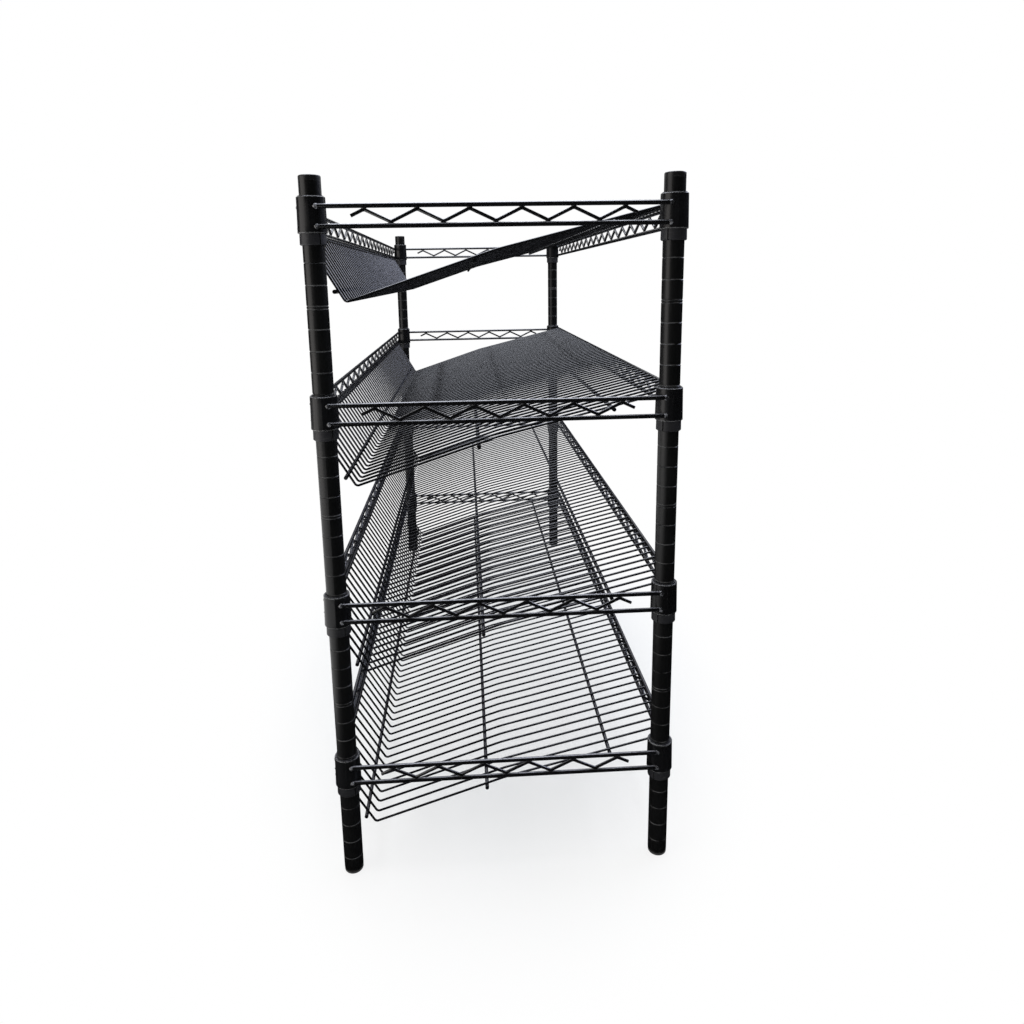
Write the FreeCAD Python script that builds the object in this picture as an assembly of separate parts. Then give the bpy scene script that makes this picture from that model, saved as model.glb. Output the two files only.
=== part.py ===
import FreeCAD, Part
import os
from math import asin, atan2, cos, degrees, pi, radians, sin, sqrt, tan

# Slanted wine rack: four grooved posts carry four welded wire shelves whose decks are
# bent to a V, each hung on four tapered split sleeves. Millimetres. X runs along the
# length, the front lip of the shelves faces -Y, Z is up and the origin lies on the
# floor below the middle of the rack.

# Posts and their spacing, axis to axis
post_spacing_x = 1164.0
post_spacing_y = 414.0
post_radius = 12.5
post_wall = 1.2
post_top = 888.0

# Rolled grooves that the sleeves clip into, doubled at every tenth
groove_first = 23.6
groove_pitch = 25.0
groove_end_clear = 20.0
groove_depth = 0.5
groove_width = 1.6
groove_floor = 0.5
double_groove_first = 9
double_groove_every = 10
double_groove_split = 3.4

# Post caps, foot inserts and levelling feet
cap_height = 6.0
cap_round = 1.5
cap_plug_length = 15.0
cap_plug_wall = 2.0
plug_clearance = 0.1
foot_height = 6.0
foot_inset = 0.2
foot_round = 2.0
foot_seat_gap = 0.2
stem_radius = 5.0
stem_length = 28.0
stem_clearance = 0.15
insert_length = 20.0

# Split sleeves, sizes measured from the collar's top edge
sleeve_above = 1.0
sleeve_below = 13.0
sleeve_wall_top = 1.6
sleeve_wall_bottom = 2.5
sleeve_chamfer = 1.0
sleeve_slot = 1.6
sleeve_slot_angle = 42.0
sleeve_clearance = 0.1
bead_height = 0.45
bead_half_width = 0.6

# Corner collars
collar_height = 40.0
collar_wall = 1.5
collar_edge = 0.6
collar_clearance = 0.3
collar_above_bead = 22.4

# Shelves, spread evenly from the bottom shelf's groove, counted from the lowest, to the last groove
shelf_count = 4
bottom_shelf_groove = 5

# Edge trusses: two rails and a zigzag wire on each side
rail_radius = 2.75
rail_drop = 11.0
rail_gap = 22.0
rail_lap = 7.0
end_rail_inset = 3.0
long_rail_inset = 1.0
zigzag_radius = 2.0
zigzag_period = 58.8
zigzag_bend = 5.0
weld_bite = 0.2

# Deck wires, bent to a steep front lip and a long tray
wire_radius = 1.5
wire_pitch = 19.1
deck_end_gap = 0.1
valley_in = 29.5
valley_drop = 117.5
valley_bend = 4.5
crest_in = 207.0
crest_drop = 59.5
crest_bend = 150.0
lip_past_rail = 3.0

# Long wires under the deck, and edge wires along the lip's top and the rear end
support_radius = 2.5
lip_support_up = 16.5
lip_support_end = 6.0
tray_support_end = 5.0
middle_support_in = 181.0
rear_support_in = 65.0
edge_wire_end = 2.5

# Values that follow from the sizes above
axis_z = FreeCAD.Vector(0, 0, 1)
corners = {"fl": (-1, -1), "fr": (1, -1), "rl": (-1, 1), "rr": (1, 1)}
front_y = -post_spacing_y / 2
rear_y = post_spacing_y / 2
tube_bottom = foot_height + foot_seat_gap
foot_radius = post_radius - foot_inset
groove_count = int((post_top - groove_end_clear - groove_first) / groove_pitch) + 1

# The sleeve's taper and the collar's bore over it
sleeve_inner = post_radius + sleeve_clearance
sleeve_radius_top = sleeve_inner + sleeve_wall_top
sleeve_radius_bottom = sleeve_inner + sleeve_wall_bottom
sleeve_bottom = -collar_height - sleeve_below
taper_length = sleeve_above - sleeve_bottom - sleeve_chamfer
sleeve_taper = (sleeve_radius_bottom - sleeve_radius_top) / taper_length
collar_bore_top = sleeve_radius_top + sleeve_taper * sleeve_above + collar_clearance
collar_bore_bottom = collar_bore_top + sleeve_taper * collar_height
collar_radius_top = collar_bore_top + collar_wall
collar_radius_bottom = collar_bore_bottom + collar_wall

# Truss planes, measured out from the post axes, and the deck between the collars
end_rail_out = collar_radius_top - end_rail_inset
long_rail_out = collar_radius_top - long_rail_inset
zigzag_tail = zigzag_period / 4
deck_end_in = collar_radius_bottom + wire_radius + deck_end_gap
wire_count = int((post_spacing_x - 2 * deck_end_in) / wire_pitch) + 1
deck_half = (wire_count - 1) * wire_pitch / 2
joint_reach = rail_radius + wire_radius - weld_bite
support_reach = support_radius + wire_radius - weld_bite
edge_reach = rail_radius + support_radius - weld_bite


def vec(x, y, z):
    return FreeCAD.Vector(x, y, z)


def corner_xy(corner):
    side_x, side_y = corners[corner]
    return side_x * post_spacing_x / 2, side_y * post_spacing_y / 2


def turned(outline, angle=360.0):
    # Solid of revolution about Z from a closed outline of (radius, z) points
    points = [vec(r, 0, z) for r, z in outline]
    face = Part.Face(Part.makePolygon(points + points[:1]))
    return face.revolve(vec(0, 0, 0), axis_z, angle)


def rod(start, end, radius):
    run = end - start
    return Part.makeCylinder(radius, run.Length, start, run)


def bent_path(points, bend):
    # Straight runs through the points, joined by tangent arcs of one radius
    edges = []
    last = points[0]
    for before, here, after in zip(points, points[1:], points[2:]):
        inward = (before - here).normalize()
        outward = (after - here).normalize()
        turn = pi - inward.getAngle(outward)
        setback = bend * tan(turn / 2)
        middle = (inward + outward).normalize()
        depth = bend / cos(turn / 2) - bend
        arc_start = here + inward * setback
        arc_end = here + outward * setback
        edges.append(Part.LineSegment(last, arc_start).toShape())
        edges.append(Part.Arc(arc_start, here + middle * depth, arc_end).toShape())
        last = arc_end
    edges.append(Part.LineSegment(last, points[-1]).toShape())
    return edges


def wire_along(edges, radius):
    path = Part.Wire(edges)
    start = edges[0].Vertexes[0].Point
    heading = edges[0].tangentAt(edges[0].FirstParameter)
    ring = Part.Wire([Part.makeCircle(radius, start, heading)])
    return path.makePipeShell([ring], True, True)


def round_edges(solid, height, radius):
    edges = [e for e in solid.Edges if abs(e.BoundBox.ZMin - height) < 1e-4
             and abs(e.BoundBox.ZMax - height) < 1e-4]
    return solid.makeFillet(radius, edges)


def save(name, solids):
    Part.makeCompound(solids).exportStep("parts/" + name + ".step")


def groove_z(index):
    return groove_first + groove_pitch * index


def shelf_tops():
    # Heights of the collars' top edges, bottom shelf first
    step = (groove_count - 1 - bottom_shelf_groove) / (shelf_count - 1)
    grooves = [round(bottom_shelf_groove + i * step) for i in range(shelf_count)]
    return [groove_z(groove) + collar_above_bead for groove in grooves]


def post_solid():
    centres = []
    for index in range(groove_count):
        z = groove_z(index)
        if index % double_groove_every == double_groove_first:
            centres += [z - double_groove_split / 2, z + double_groove_split / 2]
        else:
            centres.append(z)
    outline = [(post_radius - post_wall, tube_bottom), (post_radius, tube_bottom)]
    for z in centres:
        outline.append((post_radius, z - groove_width / 2))
        outline.append((post_radius - groove_depth, z - groove_floor / 2))
        outline.append((post_radius - groove_depth, z + groove_floor / 2))
        outline.append((post_radius, z + groove_width / 2))
    outline += [(post_radius, post_top), (post_radius - post_wall, post_top)]
    return turned(outline)


def cap_solid():
    plug_radius = post_radius - post_wall - plug_clearance
    head_top = post_top + cap_height
    plug_bottom = post_top - cap_plug_length
    cap = turned([
        (0, post_top), (plug_radius - cap_plug_wall, post_top),
        (plug_radius - cap_plug_wall, plug_bottom), (plug_radius, plug_bottom),
        (plug_radius, post_top), (post_radius, post_top),
        (post_radius, head_top), (0, head_top),
    ])
    return round_edges(cap, head_top, cap_round)


def insert_solid():
    outer = post_radius - post_wall - plug_clearance
    inner = stem_radius + stem_clearance
    top = tube_bottom + insert_length
    return turned([(inner, tube_bottom), (outer, tube_bottom), (outer, top), (inner, top)])


def foot_solid():
    foot = turned([
        (0, 0), (foot_radius, 0), (foot_radius, foot_height),
        (stem_radius, foot_height), (stem_radius, foot_height + stem_length),
        (0, foot_height + stem_length),
    ])
    return round_edges(foot, 0, foot_round)


def sleeve_halves(corner, top):
    # Both halves of one sleeve; the slots lie on a diagonal through the post
    bead = -collar_above_bead
    outline = [
        (sleeve_inner, sleeve_bottom), (sleeve_radius_bottom - sleeve_chamfer, sleeve_bottom),
        (sleeve_radius_bottom, sleeve_bottom + sleeve_chamfer), (sleeve_radius_top, sleeve_above),
        (sleeve_inner, sleeve_above), (sleeve_inner, bead + bead_half_width),
        (sleeve_inner - bead_height, bead), (sleeve_inner, bead - bead_half_width),
    ]
    x, y = corner_xy(corner)
    side_x, side_y = corners[corner]
    slot_turn = degrees(sleeve_slot / sleeve_radius_bottom)
    slot_at = degrees(atan2(-side_y * sin(radians(sleeve_slot_angle)),
                            side_x * cos(radians(sleeve_slot_angle))))
    halves = []
    for half_turn in (0.0, 180.0):
        half = turned(outline, 180.0 - slot_turn)
        half.rotate(vec(0, 0, 0), axis_z, slot_at + half_turn + slot_turn / 2)
        half.translate(vec(x, y, top))
        halves.append(half)
    return halves


def collar_solid(corner, top):
    x, y = corner_xy(corner)
    collar = turned([
        (collar_bore_bottom, -collar_height), (collar_radius_bottom - collar_edge, -collar_height),
        (collar_radius_bottom, -collar_height + collar_edge), (collar_radius_top, -collar_edge),
        (collar_radius_top - collar_edge, 0), (collar_bore_top, 0),
    ])
    return collar.translated(vec(x, y, top))


def collar_blank(corner, top):
    # Solid cone that a rail's end is coped to, smaller than the collar by the weld's bite
    x, y = corner_xy(corner)
    wide = collar_radius_bottom - weld_bite
    narrow = collar_radius_top - weld_bite
    return Part.makeCone(wide, narrow, collar_height, vec(x, y, top - collar_height))


def end_rails(side, top):
    x = side * (post_spacing_x / 2 + end_rail_out)
    reach = post_spacing_y / 2 - rail_lap
    blanks = [collar_blank(c, top) for c in corners if corners[c][0] == side]
    rails = []
    for z in (top - rail_drop, top - rail_drop - rail_gap):
        rails.append(rod(vec(x, -reach, z), vec(x, reach, z), rail_radius).cut(blanks).Solids[0])
    return rails


def long_rails(side, top):
    y = side * (post_spacing_y / 2 + long_rail_out)
    reach = post_spacing_x / 2 - rail_lap
    blanks = [collar_blank(c, top) for c in corners if corners[c][1] == side]
    rails = []
    for z in (top - rail_drop, top - rail_drop - rail_gap):
        rails.append(rod(vec(-reach, y, z), vec(reach, y, z), rail_radius).cut(blanks).Solids[0])
    return rails


def zigzag(spacing, top, place):
    # Snake wire between a truss's rails, peaks on the upper rail, each end cut off half way
    room = spacing - 2 * collar_radius_bottom - 2 * zigzag_tail
    peaks = int(room / zigzag_period) + 1
    half = zigzag_period / 2
    rail_reach = rail_radius + zigzag_radius - weld_bite
    slope = atan2(rail_gap - 2 * rail_reach, half)
    bend_gain = zigzag_bend / cos(slope) - zigzag_bend
    high = top - rail_drop - rail_reach + bend_gain
    low = top - rail_drop - rail_gap + rail_reach - bend_gain
    first = -(peaks - 1) * half
    points = [place(first - zigzag_tail, (high + low) / 2)]
    for step in range(2 * peaks - 1):
        points.append(place(first + step * half, low if step % 2 else high))
    points.append(place(-first + zigzag_tail, (high + low) / 2))
    return wire_along(bent_path(points, zigzag_bend), zigzag_radius)


def end_zigzag(side, top):
    x = side * (post_spacing_x / 2 + end_rail_out)
    return zigzag(post_spacing_y, top, lambda along, z: vec(x, along, z))


def long_zigzag(side, top):
    y = side * (post_spacing_y / 2 + long_rail_out)
    return zigzag(post_spacing_x, top, lambda along, z: vec(along, y, z))


def deck_lines(top):
    # Corner points of the deck's section: valley, crest, rear edge wire, and the lip's direction
    valley = vec(0, front_y + valley_in, top - valley_drop)
    crest = vec(0, front_y + crest_in, top - crest_drop)
    rear_edge = vec(0, rear_y + long_rail_out, top - rail_drop + edge_reach)
    rail = vec(0, front_y - long_rail_out, top - rail_drop - rail_gap)
    to_rail = rail - valley
    lean = atan2(to_rail.z, to_rail.y) + asin(joint_reach / to_rail.Length)
    up_lip = vec(0, cos(lean), sin(lean))
    inside = vec(0, sin(lean), -cos(lean))
    rail_along = sqrt(to_rail.Length ** 2 - joint_reach ** 2)
    return valley, crest, rear_edge, up_lip, inside, rail_along


def deck_wires(top):
    # One lip and one tray, split where the valley's bend runs out into the tray
    valley, crest, rear_edge, up_lip, inside, rail_along = deck_lines(top)
    lip_end = valley + up_lip * (rail_along + lip_past_rail)
    to_crest = (crest - valley).normalize()
    turn = pi - up_lip.getAngle(to_crest)
    split = valley + to_crest * (valley_bend * tan(turn / 2))
    lip_edges = bent_path([lip_end, valley, crest], valley_bend)[:2]
    lip = wire_along(lip_edges, wire_radius)
    tray_end = rear_edge - (rear_edge - crest).normalize() * (support_radius - weld_bite)
    tray = wire_along(bent_path([split, crest, tray_end], crest_bend), wire_radius)
    return lip, tray


def along_length(solid):
    places = [-deck_half + i * wire_pitch for i in range(wire_count)]
    return [solid.translated(vec(x, 0, 0)) for x in places]


def support_wires(top):
    # Supports outside the deck, one edge wire inside the lip below its rail, one on the rear upper rail
    valley, crest, rear_edge, up_lip, inside, rail_along = deck_lines(top)
    lower = (crest - valley).normalize()
    upper = (rear_edge - crest).normalize()
    along_lower = (front_y + middle_support_in - valley.y) / lower.y
    along_upper = (rear_y - rear_support_in - crest.y) / upper.y
    edge_step = sqrt(edge_reach ** 2 - (joint_reach - support_reach) ** 2)
    spots = [
        (valley + up_lip * lip_support_up - inside * support_reach, lip_support_end),
        (valley + lower * along_lower + vec(0, lower.z, -lower.y) * support_reach, tray_support_end),
        (crest + upper * along_upper + vec(0, upper.z, -upper.y) * support_reach, tray_support_end),
        (valley + up_lip * (rail_along - edge_step) + inside * support_reach, edge_wire_end),
        (rear_edge, edge_wire_end),
    ]
    wires = []
    for spot, end in spots:
        reach = vec(deck_half + end, 0, 0)
        wires.append(rod(spot - reach, spot + reach, support_radius))
    return wires


def build():
    os.makedirs("parts", exist_ok=True)
    inserts = []
    for corner in corners:
        x, y = corner_xy(corner)
        place = vec(x, y, 0)
        save("post_" + corner, [post_solid().translated(place)])
        save("cap_" + corner, [cap_solid().translated(place)])
        save("foot_" + corner, [foot_solid().translated(place)])
        inserts.append(insert_solid().translated(place))
    save("foot_inserts", inserts)
    for number, top in enumerate(shelf_tops(), 1):
        shelf = "shelf%d_" % number
        save("sleeves%d_left" % number, sleeve_halves("fl", top) + sleeve_halves("rl", top))
        save("sleeves%d_right" % number, sleeve_halves("fr", top) + sleeve_halves("rr", top))
        save(shelf + "collars", [collar_solid(corner, top) for corner in corners])
        save(shelf + "end_rails", end_rails(-1, top) + end_rails(1, top))
        save(shelf + "front_rails", long_rails(-1, top))
        save(shelf + "rear_rails", long_rails(1, top))
        save(shelf + "end_zigzags", [end_zigzag(-1, top), end_zigzag(1, top)])
        save(shelf + "long_zigzags", [long_zigzag(-1, top), long_zigzag(1, top)])
        lip, tray = deck_wires(top)
        save(shelf + "lip_wires", along_length(lip))
        save(shelf + "tray_wires", along_length(tray))
        save(shelf + "supports", support_wires(top))


build()
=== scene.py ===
import math
import random

import bmesh
import bpy
from mathutils import Matrix, Vector, noise
from mathutils.bvhtree import BVHTree


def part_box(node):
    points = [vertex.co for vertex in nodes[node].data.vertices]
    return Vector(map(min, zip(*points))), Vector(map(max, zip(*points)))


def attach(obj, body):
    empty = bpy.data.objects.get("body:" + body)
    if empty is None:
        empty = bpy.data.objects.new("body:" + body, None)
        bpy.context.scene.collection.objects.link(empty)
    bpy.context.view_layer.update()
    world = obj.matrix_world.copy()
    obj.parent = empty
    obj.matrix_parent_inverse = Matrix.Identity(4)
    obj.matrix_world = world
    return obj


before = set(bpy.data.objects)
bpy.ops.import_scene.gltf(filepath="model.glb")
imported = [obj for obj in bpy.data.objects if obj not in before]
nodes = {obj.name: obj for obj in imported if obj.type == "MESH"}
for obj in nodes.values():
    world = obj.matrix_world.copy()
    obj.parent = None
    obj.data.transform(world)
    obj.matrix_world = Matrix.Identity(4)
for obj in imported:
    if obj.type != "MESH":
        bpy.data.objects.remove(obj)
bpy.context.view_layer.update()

# Slanted wine rack: finish of every surface, weld beads, floor, light and camera. Metres.
# X runs along the length, the front lip of the shelves faces -Y and Z is up.
CORNERS = ("fl", "fr", "rl", "rr")
SHELVES = (1, 2, 3, 4)
END_NODES = ("end_rails", "end_zigzags")
LONG_NODES = ("front_rails", "rear_rails", "long_zigzags", "lip_wires", "tray_wires", "supports")

# Sizes of the wire stock and the zigzag, as on the model
RAIL_RADIUS = 0.00275
WIRE_RADIUS = 0.0015
WIRE_PITCH = 0.0191
ZIGZAG_PERIOD = 0.0588
END_PEAKS = 6
LONG_PEAKS = 19

# Half sizes of the weld beads: along the rail, across it, and out of the joint
COLLAR_BEAD = (0.0041, 0.0035, 0.0033)
TRUSS_BEAD = (0.0034, 0.0017, 0.0011)
DECK_BEAD = (0.0016, 0.0016, 0.0009)

# Lumps of the beads: their height as a share of the bead, their fineness and the spread of their pattern
COLLAR_LUMPS = 0.16
SMALL_LUMPS = 0.10
LUMP_FINENESS = 1.7
LUMP_SPREAD = 9

# How often each kind of bead is subdivided
COLLAR_DETAIL = 3
TRUSS_DETAIL = 2
DECK_DETAIL = 1

# Radius inside the collars' walls, outside their bores
COLLAR_WALL = 0.0156

# A face with more of its normal along X than this is a rod's flat end; corners nearer than this share an end
END_FACING = 0.99
END_REACH = 4 * WIRE_RADIUS

# Camera: place, turn from -X towards +Y, dip below the horizon, roll, and the lens in pixels
IMAGE_SIDE = 1024
CAMERA_PLACE = Vector((1.4313, -0.0385, 0.7780))
CAMERA_TURN = 0.05335
CAMERA_DIP = 0.1935
CAMERA_ROLL = -0.01683
FOCAL_PIXELS = 719.35
AXIS_PIXEL = (504.9, 419.3)
SENSOR_WIDTH = 36.0

# Floor disc: its darkest and lightest tone, with less blue against the cool lamps
FLOOR_RADIUS = 14.0
FLOOR_CORNERS = 96
FLOOR_TONES = (0.88, 0.91)
FLOOR_BLUE = 0.94

# How white the floor is seen at the middle, and the reach between which it turns to the background;
# the reach is measured along the rack, and across it counts for more
FLOOR_WHITE = 0.5
FLOOR_FADE = (0.42, 0.84)
FLOOR_ACROSS = 1.7

# Light of the world, and the lamps: name, place, aim, size, watts and colour
WORLD_COLOUR = (0.95, 0.97, 1.0, 1.0)
WORLD_STRENGTH = 0.30
LAMPS = (
    ("overhead", (-0.35, -0.2, 2.5), (-0.35, -0.2, 0.0), (2.6, 1.7), 62.0, (0.85, 0.89, 1.0)),
    ("left", (1.1, -1.75, 0.9), (0.45, 0.0, 0.6), (1.7, 1.7), 15.0, (1.0, 0.96, 0.93)),
    ("rear_right", (-0.8, 1.9, 2.0), (-0.3, 0.0, 0.5), (2.2, 0.9), 29.0, (0.72, 0.77, 1.0)),
)

# Black cards round the rack: their reach in X, Y and Z. The card on the floor begins beside the rack,
# and the one at the far end, on the -X side, is low.
CARD_LENGTH = (-1.8, 2.7)
CARD_WIDTH = (-2.7, 2.6)
CARD_HEIGHT = (0.004, 2.8)
FLOOR_CARD_SIDE = -0.55
FAR_CARD_TOP = 1.25


def add_node(tree, kind, inputs=None, **settings):
    # New shader node; inputs are values or the sockets that feed them
    node = tree.nodes.new("ShaderNode" + kind)
    for key, value in settings.items():
        setattr(node, key, value)
    for key, value in (inputs or {}).items():
        if isinstance(value, bpy.types.NodeSocket):
            tree.links.new(value, node.inputs[key])
        else:
            node.inputs[key].default_value = value
    return node


def start_material(name):
    material = bpy.data.materials.new(name)
    material.use_nodes = True
    tree = material.node_tree
    return material, tree, tree.nodes["Principled BSDF"]


def noise_value(tree, coords, scale, detail=2.0, roughness=0.5):
    inputs = {"Vector": coords, "Scale": scale, "Detail": detail, "Roughness": roughness}
    return add_node(tree, "TexNoise", inputs).outputs["Fac"]


def ranged(tree, value, low, high, to_low=0.0, to_high=1.0):
    node = add_node(tree, "MapRange", {"Value": value, "From Min": low, "From Max": high,
                                       "To Min": to_low, "To Max": to_high})
    return node.outputs["Result"]


def product(tree, first, second):
    return add_node(tree, "Math", {0: first, 1: second}, operation="MULTIPLY").outputs["Value"]


def colour_mix(tree, factor, first, second):
    # Mix node's colour sockets are found by type, since its inputs share names
    node = tree.nodes.new("ShaderNodeMix")
    node.data_type = "RGBA"
    sockets = [s for s in node.inputs if s.type == "RGBA"]
    for socket, value in ((node.inputs[0], factor), (sockets[0], first), (sockets[1], second)):
        if isinstance(value, bpy.types.NodeSocket):
            tree.links.new(value, socket)
        else:
            socket.default_value = value
    return [s for s in node.outputs if s.type == "RGBA"][0]


def grey(level, blue=1.0):
    # Linear grey, with blue as its share of the level
    return (level, level, level * blue, 1.0)


# Fine dust and a painted sheen, on what faces up
DUST_AND_SHEEN = grey(0.07, 1.25)


def edge_mask(tree, radius, low, high):
    # Near 1 along sharp edges, where a rounded normal leaves the true one
    rounded = add_node(tree, "Bevel", {"Radius": radius}, samples=4)
    true = add_node(tree, "NewGeometry")
    dot = add_node(tree, "VectorMath", {0: rounded.outputs["Normal"], 1: true.outputs["Normal"]},
                   operation="DOT_PRODUCT")
    return ranged(tree, dot.outputs["Value"], 1.0 - low, 1.0 - high)


def coat_surface(tree, shader, coords, colour, worn, roughness, peel, dust_and_sheen_tone=DUST_AND_SHEEN):
    # Powder coat: orange peel, patchy gloss, and fine dust with a painted highlight on what faces up
    patches = noise_value(tree, coords, scale=11.0, detail=4.0, roughness=0.6)
    grain = noise_value(tree, coords, scale=650.0)
    wide_peel = noise_value(tree, coords, scale=190.0)
    tone = colour_mix(tree, ranged(tree, patches, low=0.3, high=0.7), colour, worn)
    facing = add_node(tree, "SeparateXYZ", {0: add_node(tree, "NewGeometry").outputs["Normal"]})
    # Faces that point up are painted lighter: partly dust, partly a painted highlight and sheen from the
    # lamps above
    up = ranged(tree, facing.outputs["Z"], low=0.75, high=1.0)
    clouds = noise_value(tree, coords, scale=22.0, detail=3.0)
    dust_and_sheen = product(tree, up, ranged(tree, clouds, low=0.2, high=0.8, to_low=0.35, to_high=0.75))
    tone = colour_mix(tree, dust_and_sheen, tone, dust_and_sheen_tone)
    smooth, rough = roughness
    gloss = ranged(tree, patches, low=0.25, high=0.75, to_low=smooth, to_high=rough)
    gloss = add_node(tree, "Math", {0: gloss, 1: product(tree, dust_and_sheen, 0.08)}, operation="ADD").outputs["Value"]
    tree.links.new(gloss, shader.inputs["Roughness"])
    height = add_node(tree, "Math", {0: grain, 1: wide_peel}, operation="ADD").outputs["Value"]
    bump = add_node(tree, "Bump", {"Height": height, "Strength": peel, "Distance": 0.0002})
    tree.links.new(bump.outputs["Normal"], shader.inputs["Normal"])
    return tone


def wire_coat_material(name, gloss, dust_and_sheen_tone):
    # Gloss is the weight of a clear, smooth layer over the coat
    material, tree, shader = start_material(name)
    coords = add_node(tree, "TexCoord").outputs["Object"]
    tone = coat_surface(tree, shader, coords, colour=grey(0.004, 1.1), worn=grey(0.006, 1.15),
                        roughness=(0.18, 0.26), peel=0.08, dust_and_sheen_tone=dust_and_sheen_tone)
    tree.links.new(tone, shader.inputs["Base Color"])
    shader.inputs["Specular IOR Level"].default_value = 0.5
    shader.inputs["Coat Weight"].default_value = gloss
    shader.inputs["Coat Roughness"].default_value = 0.12
    shader.inputs["Coat IOR"].default_value = 1.7
    return material


def collar_coat_material():
    material, tree, shader = start_material("collar_coat")
    coords = add_node(tree, "TexCoord").outputs["Object"]
    tone = coat_surface(tree, shader, coords, colour=grey(0.004, 1.1), worn=grey(0.007, 1.15),
                        roughness=(0.24, 0.32), peel=0.12)
    mottle = noise_value(tree, coords, scale=90.0, detail=4.0, roughness=0.7)
    # Edges are painted light grey: a little rubbed coat, mostly a painted highlight along the collar's rims
    edges = edge_mask(tree, radius=0.0012, low=0.03, high=0.2)
    rubbed_and_lit_edge = product(tree, edges, ranged(tree, mottle, low=0.25, high=0.55))
    tone = colour_mix(tree, rubbed_and_lit_edge, tone, grey(0.6))
    tree.links.new(tone, shader.inputs["Base Color"])
    shader.inputs["Specular IOR Level"].default_value = 0.4
    return material


def post_coat_material():
    # The rolled grooves lie inside the tube's full radius, measured in each post's own box; they are painted
    # lighter grey, a painted highlight along each groove
    material, tree, shader = start_material("post_coat")
    texture = add_node(tree, "TexCoord")
    coords = texture.outputs["Object"]
    tone = coat_surface(tree, shader, coords, colour=grey(0.004), worn=grey(0.007), roughness=(0.28, 0.36),
                        peel=0.12)
    across = add_node(tree, "SeparateXYZ", {0: texture.outputs["Generated"]})
    flat = add_node(tree, "CombineXYZ", {"X": across.outputs["X"], "Y": across.outputs["Y"]})
    post_axis = (0.5, 0.5, 0.0)
    reach = add_node(tree, "VectorMath", {0: flat.outputs["Vector"], 1: post_axis}, operation="DISTANCE")
    groove = ranged(tree, reach.outputs["Value"], low=0.498, high=0.486)
    mottle = noise_value(tree, coords, scale=75.0, detail=3.0)
    worn = product(tree, groove, ranged(tree, mottle, low=0.35, high=0.6))
    # Painted highlight: the grooves turn lighter grey, broken up by noise
    tone = colour_mix(tree, worn, tone, grey(0.11))
    tree.links.new(tone, shader.inputs["Base Color"])
    shader.inputs["Specular IOR Level"].default_value = 0.4
    return material


def moulded_material(name, colour, worn, roughness, scuffs):
    # Moulded plastic: fine spark texture, edges painted lighter as rubbed wear and a painted highlight, and
    # light scuffs
    material, tree, shader = start_material(name)
    coords = add_node(tree, "TexCoord").outputs["Object"]
    patches = noise_value(tree, coords, scale=35.0, detail=4.0, roughness=0.6)
    edges = edge_mask(tree, radius=0.0006, low=0.04, high=0.3)
    rubbed_and_lit_edge = product(tree, edges, ranged(tree, patches, low=0.3, high=0.6))
    tone = colour_mix(tree, ranged(tree, patches, low=0.3, high=0.7), colour, worn)
    tone = colour_mix(tree, product(tree, rubbed_and_lit_edge, 0.7), tone, grey(0.13))
    streaks = add_node(tree, "Mapping", {"Vector": coords, "Scale": (40.0, 40.0, 420.0)}).outputs["Vector"]
    scratches = noise_value(tree, streaks, scale=3.0, detail=3.0)
    marks = ranged(tree, scratches, low=0.62, high=0.72, to_high=scuffs)
    tone = colour_mix(tree, marks, tone, grey(0.10))
    tree.links.new(tone, shader.inputs["Base Color"])
    smooth, rough = roughness
    gloss = ranged(tree, patches, low=0.25, high=0.75, to_low=smooth, to_high=rough)
    tree.links.new(gloss, shader.inputs["Roughness"])
    grain = noise_value(tree, coords, scale=1500.0, detail=1.0)
    bump = add_node(tree, "Bump", {"Height": grain, "Strength": 0.25, "Distance": 0.0001})
    tree.links.new(bump.outputs["Normal"], shader.inputs["Normal"])
    shader.inputs["Specular IOR Level"].default_value = 0.4
    return material


def zinc_material():
    material, tree, shader = start_material("zinc_plate")
    coords = add_node(tree, "TexCoord").outputs["Object"]
    spangle = noise_value(tree, coords, scale=160.0, detail=4.0, roughness=0.6)
    gloss = ranged(tree, spangle, low=0.3, high=0.7, to_low=0.28, to_high=0.45)
    tree.links.new(colour_mix(tree, spangle, grey(0.42), grey(0.62)), shader.inputs["Base Color"])
    tree.links.new(gloss, shader.inputs["Roughness"])
    shader.inputs["Metallic"].default_value = 1.0
    return material


def weld_material(name, bare_and_glint):
    # Coated weld beads: lumpy and glossy; the bare share is how much light grey is painted on the crowns of
    # the lumps, partly bare metal and partly a painted glint
    material, tree, shader = start_material(name)
    coords = add_node(tree, "TexCoord").outputs["Object"]
    lumps = noise_value(tree, coords, scale=420.0, detail=3.0)
    tone = colour_mix(tree, lumps, grey(0.009, 1.1), grey(0.03, 1.1))
    crowns = ranged(tree, noise_value(tree, coords, scale=260.0), low=0.45, high=0.55, to_high=bare_and_glint)
    gloss = ranged(tree, lumps, low=0.3, high=0.7, to_low=0.10, to_high=0.22)
    tree.links.new(colour_mix(tree, crowns, tone, grey(0.6, 1.05)), shader.inputs["Base Color"])
    tree.links.new(gloss, shader.inputs["Roughness"])
    bump = add_node(tree, "Bump", {"Height": lumps, "Strength": 0.5, "Distance": 0.0005})
    tree.links.new(bump.outputs["Normal"], shader.inputs["Normal"])
    shader.inputs["Specular IOR Level"].default_value = 0.6
    shader.inputs["Coat Weight"].default_value = 1.0
    shader.inputs["Coat Roughness"].default_value = 0.08
    return material


def dress(node, material):
    slots = nodes[node].data.materials
    slots.clear()
    slots.append(material)


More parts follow.
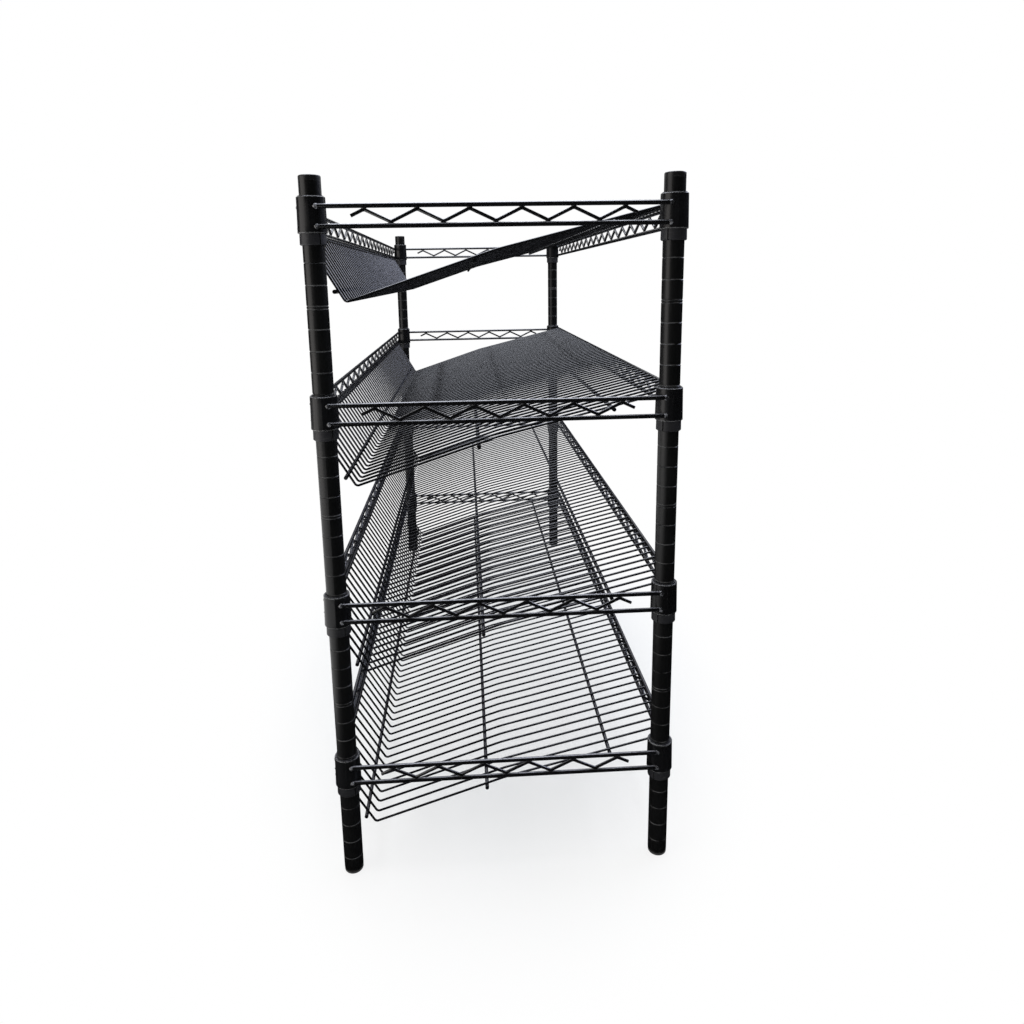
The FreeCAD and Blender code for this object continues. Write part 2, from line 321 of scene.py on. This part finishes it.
def dress_nodes():
    post = post_coat_material()
    # The end rails' upper faces are painted light grey: a painted highlight along the tops of the rails and
    # zigzags
    end_wire = wire_coat_material("end_wire_coat", gloss=1.0, dust_and_sheen_tone=grey(0.42, 1.08))
    long_wire = wire_coat_material("long_wire_coat", gloss=0.45, dust_and_sheen_tone=DUST_AND_SHEEN)
    collar = collar_coat_material()
    sleeve = moulded_material("sleeve_plastic", colour=grey(0.017, 1.12), worn=grey(0.026, 1.15),
                              roughness=(0.38, 0.50), scuffs=0.35)
    cap = moulded_material("cap_plastic", colour=grey(0.008), worn=grey(0.013),
                           roughness=(0.28, 0.38), scuffs=0.2)
    foot = moulded_material("foot_plastic", colour=grey(0.009), worn=grey(0.016),
                            roughness=(0.45, 0.60), scuffs=0.6)
    for corner in CORNERS:
        dress("post_" + corner, post)
        dress("cap_" + corner, cap)
        dress("foot_" + corner, foot)
    dress("foot_inserts", zinc_material())
    for shelf in SHELVES:
        dress("sleeves%d_left" % shelf, sleeve)
        dress("sleeves%d_right" % shelf, sleeve)
        dress("shelf%d_collars" % shelf, collar)
        for part in END_NODES:
            dress("shelf%d_%s" % (shelf, part), end_wire)
        for part in LONG_NODES:
            dress("shelf%d_%s" % (shelf, part), long_wire)


def bead(mesh, place, along, out, size, lumps, rng, detail):
    # One lumpy bead: along the rail, out of the joint, and across both
    across = out.cross(along).normalized()
    turn = Matrix((along, across, out)).transposed()
    made = bmesh.ops.create_icosphere(mesh, subdivisions=detail, radius=1.0)
    shift = Vector([rng.uniform(-LUMP_SPREAD, LUMP_SPREAD) for _ in range(3)])
    for vert in made["verts"]:
        swell = 1.0 + lumps * noise.noise(vert.co * LUMP_FINENESS + shift)
        vert.co = place + turn @ Vector([c * s * swell for c, s in zip(vert.co, size)])


def clear_bores(mesh):
    # Weld metal stays in the collar's wall, out of the bore that slides over the sleeve and the cap
    for corner in CORNERS:
        low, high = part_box("post_" + corner)
        axis = ((low + high) / 2).xy
        for vert in mesh.verts:
            away = vert.co.xy - axis
            if away.length < COLLAR_WALL:
                vert.co.xy = axis + away.normalized() * COLLAR_WALL


def bead_piece(name, shelf, beads, size, lumps, detail, material):
    # Beads of one kind on one shelf, as one piece that rides on it
    rng = random.Random(name)
    mesh = bmesh.new()
    for place, along, out in beads:
        bead(mesh, place, along, out, size, lumps, rng, detail)
    clear_bores(mesh)
    data = bpy.data.meshes.new(name)
    mesh.to_mesh(data)
    mesh.free()
    for polygon in data.polygons:
        polygon.use_smooth = True
    data.materials.append(material)
    piece = bpy.data.objects.new(name, data)
    bpy.context.scene.collection.objects.link(piece)
    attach(piece, "shelf%d" % shelf)


def rail_heights(node):
    low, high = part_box(node)
    return high.z - RAIL_RADIUS, low.z + RAIL_RADIUS


def collar_beads(shelf):
    # A bead at each end of every rail, where it meets its collar
    beads = []
    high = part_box("shelf%d_end_rails" % shelf)[1]
    for z in rail_heights("shelf%d_end_rails" % shelf):
        for side in (-1, 1):
            for end in (-1, 1):
                place = Vector((side * (high.x - RAIL_RADIUS), end * high.y, z))
                beads.append((place, Vector((0, end, 0)), Vector((side, 0, 0))))
    for row in ("front_rails", "rear_rails"):
        low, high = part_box("shelf%d_%s" % (shelf, row))
        facing = -1 if row == "front_rails" else 1
        for z in rail_heights("shelf%d_%s" % (shelf, row)):
            for end in (-1, 1):
                place = Vector((end * high.x, (low.y + high.y) / 2, z))
                beads.append((place, Vector((end, 0, 0)), Vector((0, facing, 0))))
    return beads


def truss_beads(shelf):
    # A bead wherever a zigzag's bend meets a rail
    beads = []
    trusses = []
    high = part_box("shelf%d_end_rails" % shelf)[1]
    for side in (-1, 1):
        base = Vector((side * (high.x - RAIL_RADIUS), 0, 0))
        trusses.append(("end_rails", END_PEAKS, base, Vector((0, 1, 0))))
    for row in ("front_rails", "rear_rails"):
        low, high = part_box("shelf%d_%s" % (shelf, row))
        base = Vector((0, (low.y + high.y) / 2, 0))
        trusses.append((row, LONG_PEAKS, base, Vector((1, 0, 0))))
    for row, peaks, base, along in trusses:
        upper, lower = rail_heights("shelf%d_%s" % (shelf, row))
        first = -(peaks - 1) * ZIGZAG_PERIOD / 2
        for step in range(2 * peaks - 1):
            z = lower + RAIL_RADIUS if step % 2 else upper - RAIL_RADIUS
            place = base + along * (first + step * ZIGZAG_PERIOD / 2) + Vector((0, 0, z))
            beads.append((place, along, Vector((0, 0, 1))))
    return beads


def rod_lines(node):
    # Depth and height of each long rod of a node, from the flat ends that face +X
    mesh = nodes[node].data
    ends = []
    for polygon in mesh.polygons:
        if polygon.normal.x < END_FACING:
            continue
        for index in polygon.vertices:
            corner = mesh.vertices[index].co.yz
            near = [end for end in ends if (end[0] - corner).length < END_REACH]
            if near:
                near[0].append(corner)
            else:
                ends.append([corner])
    lines = []
    for end in ends:
        y = (min(c.x for c in end) + max(c.x for c in end)) / 2
        z = (min(c.y for c in end) + max(c.y for c in end)) / 2
        lines.append(Vector((0, y, z)))
    return lines


def surface_of(node):
    mesh = nodes[node].data
    return BVHTree.FromPolygons([v.co for v in mesh.vertices], [tuple(p.vertices) for p in mesh.polygons])


def deck_beads(shelf):
    # A bead wherever a deck wire crosses a support, an edge wire or the lower front rail
    rods = rod_lines("shelf%d_supports" % shelf)
    low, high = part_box("shelf%d_front_rails" % shelf)
    rods.append(Vector((0, (low.y + high.y) / 2, low.z + RAIL_RADIUS)))
    low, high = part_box("shelf%d_tray_wires" % shelf)
    first = low.x + WIRE_RADIUS
    count = round((high.x - low.x - 2 * WIRE_RADIUS) / WIRE_PITCH) + 1
    surfaces = [surface_of("shelf%d_lip_wires" % shelf), surface_of("shelf%d_tray_wires" % shelf)]
    beads = []
    for rod in rods:
        probe = Vector((first, rod.y, rod.z))
        spot = min((surface.find_nearest(probe) for surface in surfaces), key=lambda found: found[3])[0]
        out = (spot - probe).normalized()
        for index in range(count):
            beads.append((spot + Vector((index * WIRE_PITCH, 0, 0)), Vector((1, 0, 0)), out))
    return beads


def make_welds():
    weld = weld_material("weld_coat", bare_and_glint=0.0)
    # The collar beads' crowns are painted light grey: partly bare weld metal, partly a painted glint
    collar_weld = weld_material("collar_weld_coat", bare_and_glint=0.3)
    for shelf in SHELVES:
        bead_piece("shelf%d_collar_welds" % shelf, shelf, collar_beads(shelf), COLLAR_BEAD, COLLAR_LUMPS,
                   COLLAR_DETAIL, collar_weld)
        bead_piece("shelf%d_truss_welds" % shelf, shelf, truss_beads(shelf), TRUSS_BEAD, SMALL_LUMPS,
                   TRUSS_DETAIL, weld)
        bead_piece("shelf%d_deck_welds" % shelf, shelf, deck_beads(shelf), DECK_BEAD, SMALL_LUMPS,
                   DECK_DETAIL, weld)


def seen_directly(tree):
    # 1 for rays that show the surface itself: to the camera, in a reflection or through glass
    path = add_node(tree, "LightPath")
    either = add_node(tree, "Math", {0: path.outputs["Is Camera Ray"], 1: path.outputs["Is Glossy Ray"]},
                      operation="MAXIMUM")
    return add_node(tree, "Math", {0: either.outputs["Value"], 1: path.outputs["Is Transmission Ray"]},
                    operation="MAXIMUM").outputs["Value"]


def make_floor():
    # Pale paper with the rack's shadow, which turns to the white of the background further out
    bpy.ops.mesh.primitive_circle_add(vertices=FLOOR_CORNERS, radius=FLOOR_RADIUS, fill_type="NGON")
    floor = bpy.context.object
    floor.name = "floor"
    material, tree, shader = start_material("floor_paper")
    shader.inputs["Roughness"].default_value = 0.9
    shader.inputs["Specular IOR Level"].default_value = 0.0
    coords = add_node(tree, "TexCoord").outputs["Object"]
    fibre = noise_value(tree, coords, scale=220.0, detail=3.0)
    dark, light = [grey(tone, FLOOR_BLUE) for tone in FLOOR_TONES]
    tree.links.new(colour_mix(tree, fibre, dark, light), shader.inputs["Base Color"])
    wide = add_node(tree, "VectorMath", {0: coords, 1: (1.0, FLOOR_ACROSS, 1.0)}, operation="MULTIPLY")
    reach = add_node(tree, "VectorMath", {0: wide.outputs["Vector"]}, operation="LENGTH").outputs["Value"]
    start, end = FLOOR_FADE
    limits = {"Value": reach, "From Min": start, "From Max": end, "To Min": FLOOR_WHITE, "To Max": 1.0}
    spread = add_node(tree, "MapRange", limits, interpolation_type="SMOOTHSTEP")
    fade = product(tree, spread.outputs["Result"], seen_directly(tree))
    white = add_node(tree, "Emission", {"Color": grey(1.0), "Strength": 1.0})
    blend = add_node(tree, "MixShader", {0: fade, 1: shader.outputs["BSDF"], 2: white.outputs["Emission"]})
    tree.links.new(blend.outputs["Shader"], tree.nodes["Material Output"].inputs["Surface"])
    floor.data.materials.append(material)


def make_world():
    # Dim cool light all round, seen as white
    world = bpy.data.worlds.new("studio")
    bpy.context.scene.world = world
    world.use_nodes = True
    tree = world.node_tree
    light = tree.nodes["Background"]
    light.inputs["Color"].default_value = WORLD_COLOUR
    light.inputs["Strength"].default_value = WORLD_STRENGTH
    white = add_node(tree, "Background", {"Color": grey(1.0), "Strength": 1.0})
    blend = add_node(tree, "MixShader", {0: seen_directly(tree), 1: light.outputs["Background"],
                                         2: white.outputs["Background"]})
    tree.links.new(blend.outputs["Shader"], tree.nodes["World Output"].inputs["Surface"])


def soft_box(name, place, target, size, power, colour):
    data = bpy.data.lights.new(name, "AREA")
    data.shape = "RECTANGLE"
    data.size, data.size_y = size
    data.energy = power
    data.color = colour
    lamp = bpy.data.objects.new(name, data)
    lamp.location = place
    lamp.rotation_mode = "QUATERNION"
    lamp.rotation_quaternion = (Vector(target) - Vector(place)).to_track_quat("-Z", "Y")
    lamp.visible_camera = False
    bpy.context.scene.collection.objects.link(lamp)


def make_cards():
    # Black cards round the lamps; only reflections see them, so gloss black stays black
    far, near = CARD_LENGTH
    left, right = CARD_WIDTH
    floor, ceiling = CARD_HEIGHT
    side = FLOOR_CARD_SIDE
    top = FAR_CARD_TOP
    outlines = [
        [(far, side, floor), (far, right, floor), (near, right, floor), (near, side, floor)],
        [(far, left, ceiling), (far, right, ceiling), (near, right, ceiling), (near, left, ceiling)],
        [(far, left, floor), (far, left, ceiling), (near, left, ceiling), (near, left, floor)],
        [(far, right, floor), (far, right, ceiling), (near, right, ceiling), (near, right, floor)],
        [(near, left, floor), (near, right, floor), (near, right, ceiling), (near, left, ceiling)],
        [(far, left, floor), (far, right, floor), (far, right, top), (far, left, top)],
    ]
    corners = [corner for outline in outlines for corner in outline]
    mesh = bpy.data.meshes.new("black_cards")
    mesh.from_pydata(corners, [], [tuple(range(4 * i, 4 * i + 4)) for i in range(len(outlines))])
    cards = bpy.data.objects.new("black_cards", mesh)
    bpy.context.scene.collection.objects.link(cards)
    material, _, shader = start_material("black_card")
    shader.inputs["Base Color"].default_value = grey(0.01)
    shader.inputs["Specular IOR Level"].default_value = 0.0
    mesh.materials.append(material)
    cards.visible_camera = False
    cards.visible_diffuse = False
    cards.visible_shadow = False
    cards.visible_transmission = False


def make_camera():
    level = math.cos(CAMERA_DIP)
    ahead = Vector((-level * math.cos(CAMERA_TURN), level * math.sin(CAMERA_TURN), -math.sin(CAMERA_DIP)))
    right = ahead.cross(Vector((0, 0, 1))).normalized()
    up = right.cross(ahead)
    roll = Matrix.Rotation(-CAMERA_ROLL, 3, ahead)
    right, up = roll @ right, roll @ up
    data = bpy.data.cameras.new("camera")
    data.sensor_width = SENSOR_WIDTH
    data.lens = FOCAL_PIXELS / IMAGE_SIDE * SENSOR_WIDTH
    data.shift_x = (IMAGE_SIDE / 2 - AXIS_PIXEL[0]) / IMAGE_SIDE
    data.shift_y = (AXIS_PIXEL[1] - IMAGE_SIDE / 2) / IMAGE_SIDE
    camera = bpy.data.objects.new("camera", data)
    camera.matrix_world = Matrix.Translation(CAMERA_PLACE) @ Matrix((right, up, -ahead)).transposed().to_4x4()
    bpy.context.scene.collection.objects.link(camera)
    bpy.context.scene.camera = camera


dress_nodes()
make_welds()
make_floor()
make_world()
for lamp in LAMPS:
    soft_box(*lamp)
make_cards()
make_camera()
bpy.context.scene.view_settings.view_transform = "Standard"
